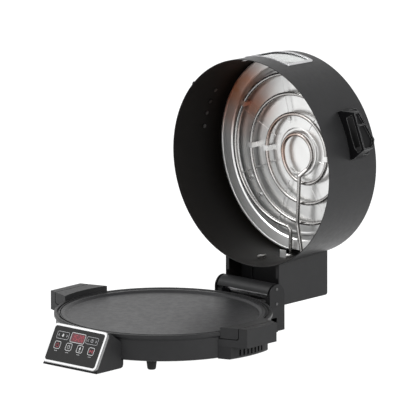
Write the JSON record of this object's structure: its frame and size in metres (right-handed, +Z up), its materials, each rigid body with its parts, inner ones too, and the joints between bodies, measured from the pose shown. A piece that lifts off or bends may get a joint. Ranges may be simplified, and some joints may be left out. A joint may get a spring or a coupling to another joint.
{
  "type": "electric pizza maker",
  "caption": "Round countertop pizza maker with a deep hinged lid standing open, a heated baking plate, a sloping touch panel and two side handles",
  "frame": {"origin": "middle of the outline box at worktop level, with the lid standing open as in the picture", "axes": "+X to the user's right and along the hinge, -Y to the user and the control panel, +Y to the hinge and the open lid, +Z up"},
  "size_m": [0.4012, 0.5208, 0.4137],
  "materials": {
    "shell_plastic": "satin black moulded plastic",
    "dark_plastic": "satin black moulded plastic",
    "grip_plastic": "matt black heat-resistant plastic",
    "ceramic_white": "pale ceramic",
    "board_green": "green circuit board",
    "foot_rubber": "matt black rubber",
    "screw_steel": "bright plated steel",
    "bright_steel": "bright aluminised steel sheet",
    "frame_steel": "satin steel",
    "heater_steel": "heat-toned steel tube",
    "plate_coating": "dark non-stick coated aluminium",
    "bezel_chrome": "bright chromed frame",
    "panel_glass": "black glass touch panel",
    "window_glass": "clear tempered glass",
    "lid_paint": "satin black baked paint on sheet steel",
    "blackened_steel": "blackened steel screws",
    "bracket_paint": "deep black painted steel"
  },
  "bodies": {
    "base": {"base_shell": "shell_plastic", "base_rim": "shell_plastic", "bottom_cover": "dark_plastic", "bottom_cover_screws": "screw_steel", "foot_front_left": "foot_rubber", "foot_front_right": "foot_rubber", "foot_rear_left": "foot_rubber", "foot_rear_right": "foot_rubber", "bracket_pads": "foot_rubber", "heater_pan": "bright_steel", "lower_heating_tube": "heater_steel", "lower_tube_posts": "bright_steel", "lower_thermostat": "ceramic_white", "power_board": "board_green", "control_housing": "dark_plastic", "control_bezel": "bezel_chrome", "control_glass": "panel_glass", "display_module": "dark_plastic", "control_board": "board_green", "handle_left": "shell_plastic", "handle_left_cap": "shell_plastic", "handle_right": "shell_plastic", "handle_right_cap": "shell_plastic", "vent_left": "dark_plastic", "vent_right": "dark_plastic", "hinge_bracket_upper": "dark_plastic", "hinge_bracket_lower": "dark_plastic", "ear_left": "bracket_paint", "ear_right": "bracket_paint", "ear_screws": "blackened_steel", "hinge_pin_left": "screw_steel", "hinge_pin_right": "screw_steel", "hinge_cover": "dark_plastic", "power_inlet": "dark_plastic"},
    "plate": {"baking_plate": "plate_coating"},
    "lid": {"lid_drum": "lid_paint", "lid_top": "lid_paint", "lid_reflector": "bright_steel", "upper_heating_tube": "heater_steel", "upper_tube_clips": "bright_steel", "reflector_wires": "bright_steel", "reflector_screws": "screw_steel", "tube_terminals": "screw_steel", "terminal_bracket": "bright_steel", "lid_thermostat": "heater_steel", "window_frame": "frame_steel", "window_glass": "window_glass", "window_retainer": "frame_steel", "lid_handle_left": "grip_plastic", "lid_handle_right": "grip_plastic", "lid_handle_screws": "blackened_steel", "wiring_box": "lid_paint", "box_shield": "dark_plastic", "lid_hinge_leaf": "frame_steel", "lid_hinge_screws": "screw_steel"}
  },
  "joints": [
    {"name": "lid_hinge", "type": "hinge", "parent": "base", "child": "lid", "pos_m": [0, 0.14854, 0.0564], "axis": [1, 0, 0], "range_deg": [0, 90]},
    {"name": "plate_lift", "type": "slide", "parent": "base", "child": "plate", "axis": [0, 0, 1], "range_m": [0, 0.025]}
  ]
}
